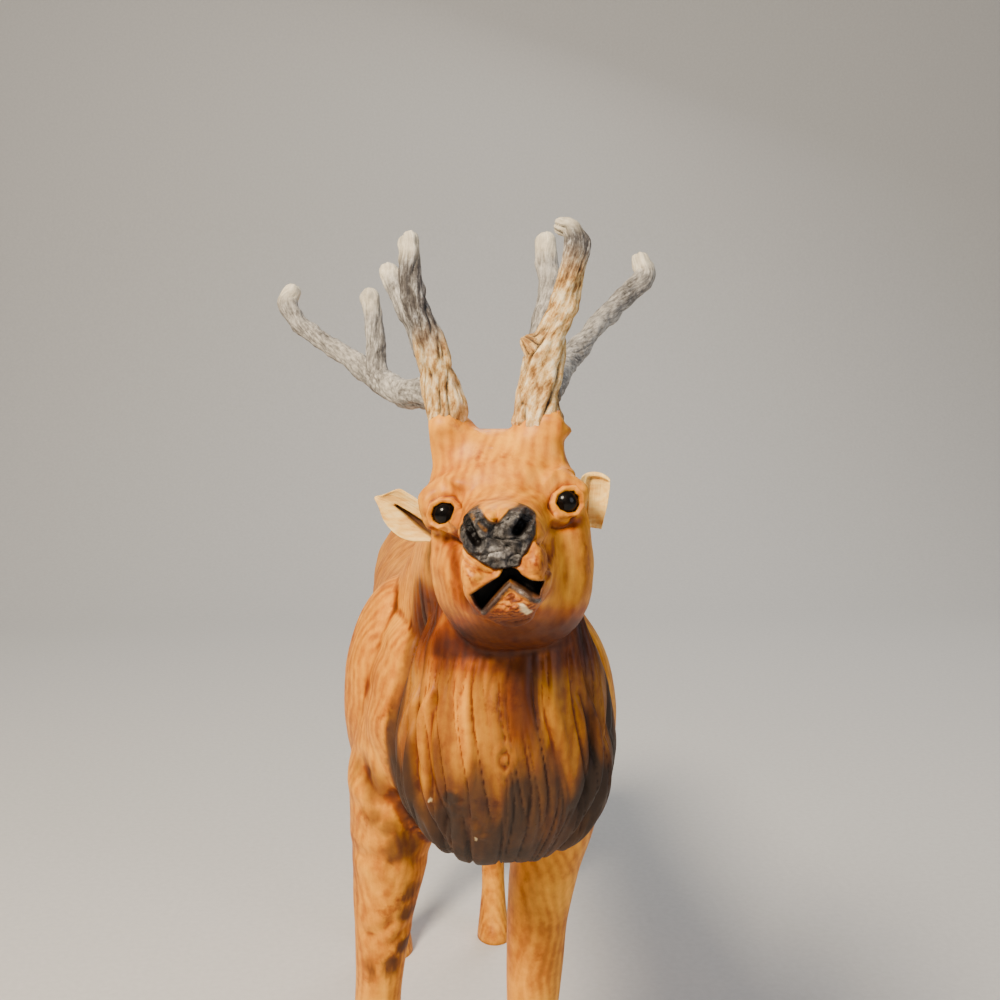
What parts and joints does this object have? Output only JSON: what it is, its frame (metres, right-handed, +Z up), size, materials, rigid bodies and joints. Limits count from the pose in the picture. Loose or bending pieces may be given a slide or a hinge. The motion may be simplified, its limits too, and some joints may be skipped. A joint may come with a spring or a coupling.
{
  "type": "deer figurine",
  "caption": "Carved wooden stag standing on its hooves, with twig antlers, pale curled ears and black bead eyes.",
  "frame": {"origin": "middle of the whole stag's bounding box on the ground under its hooves", "axes": "+Z up, -Y the way the stag looks, +X its own left side"},
  "size_m": [0.1192, 0.3636, 0.3329],
  "materials": {
    "carved_wood": "satin oil",
    "branch_wood": "weathered bare twig",
    "pale_wood": "satin",
    "black_bead": "polished"
  },
  "bodies": {
    "root": {"figure": "carved_wood", "right_antler": "branch_wood", "left_antler": "branch_wood", "right_ear": "pale_wood", "left_ear": "pale_wood", "right_eye": "black_bead", "left_eye": "black_bead"}
  },
  "joints": []
}
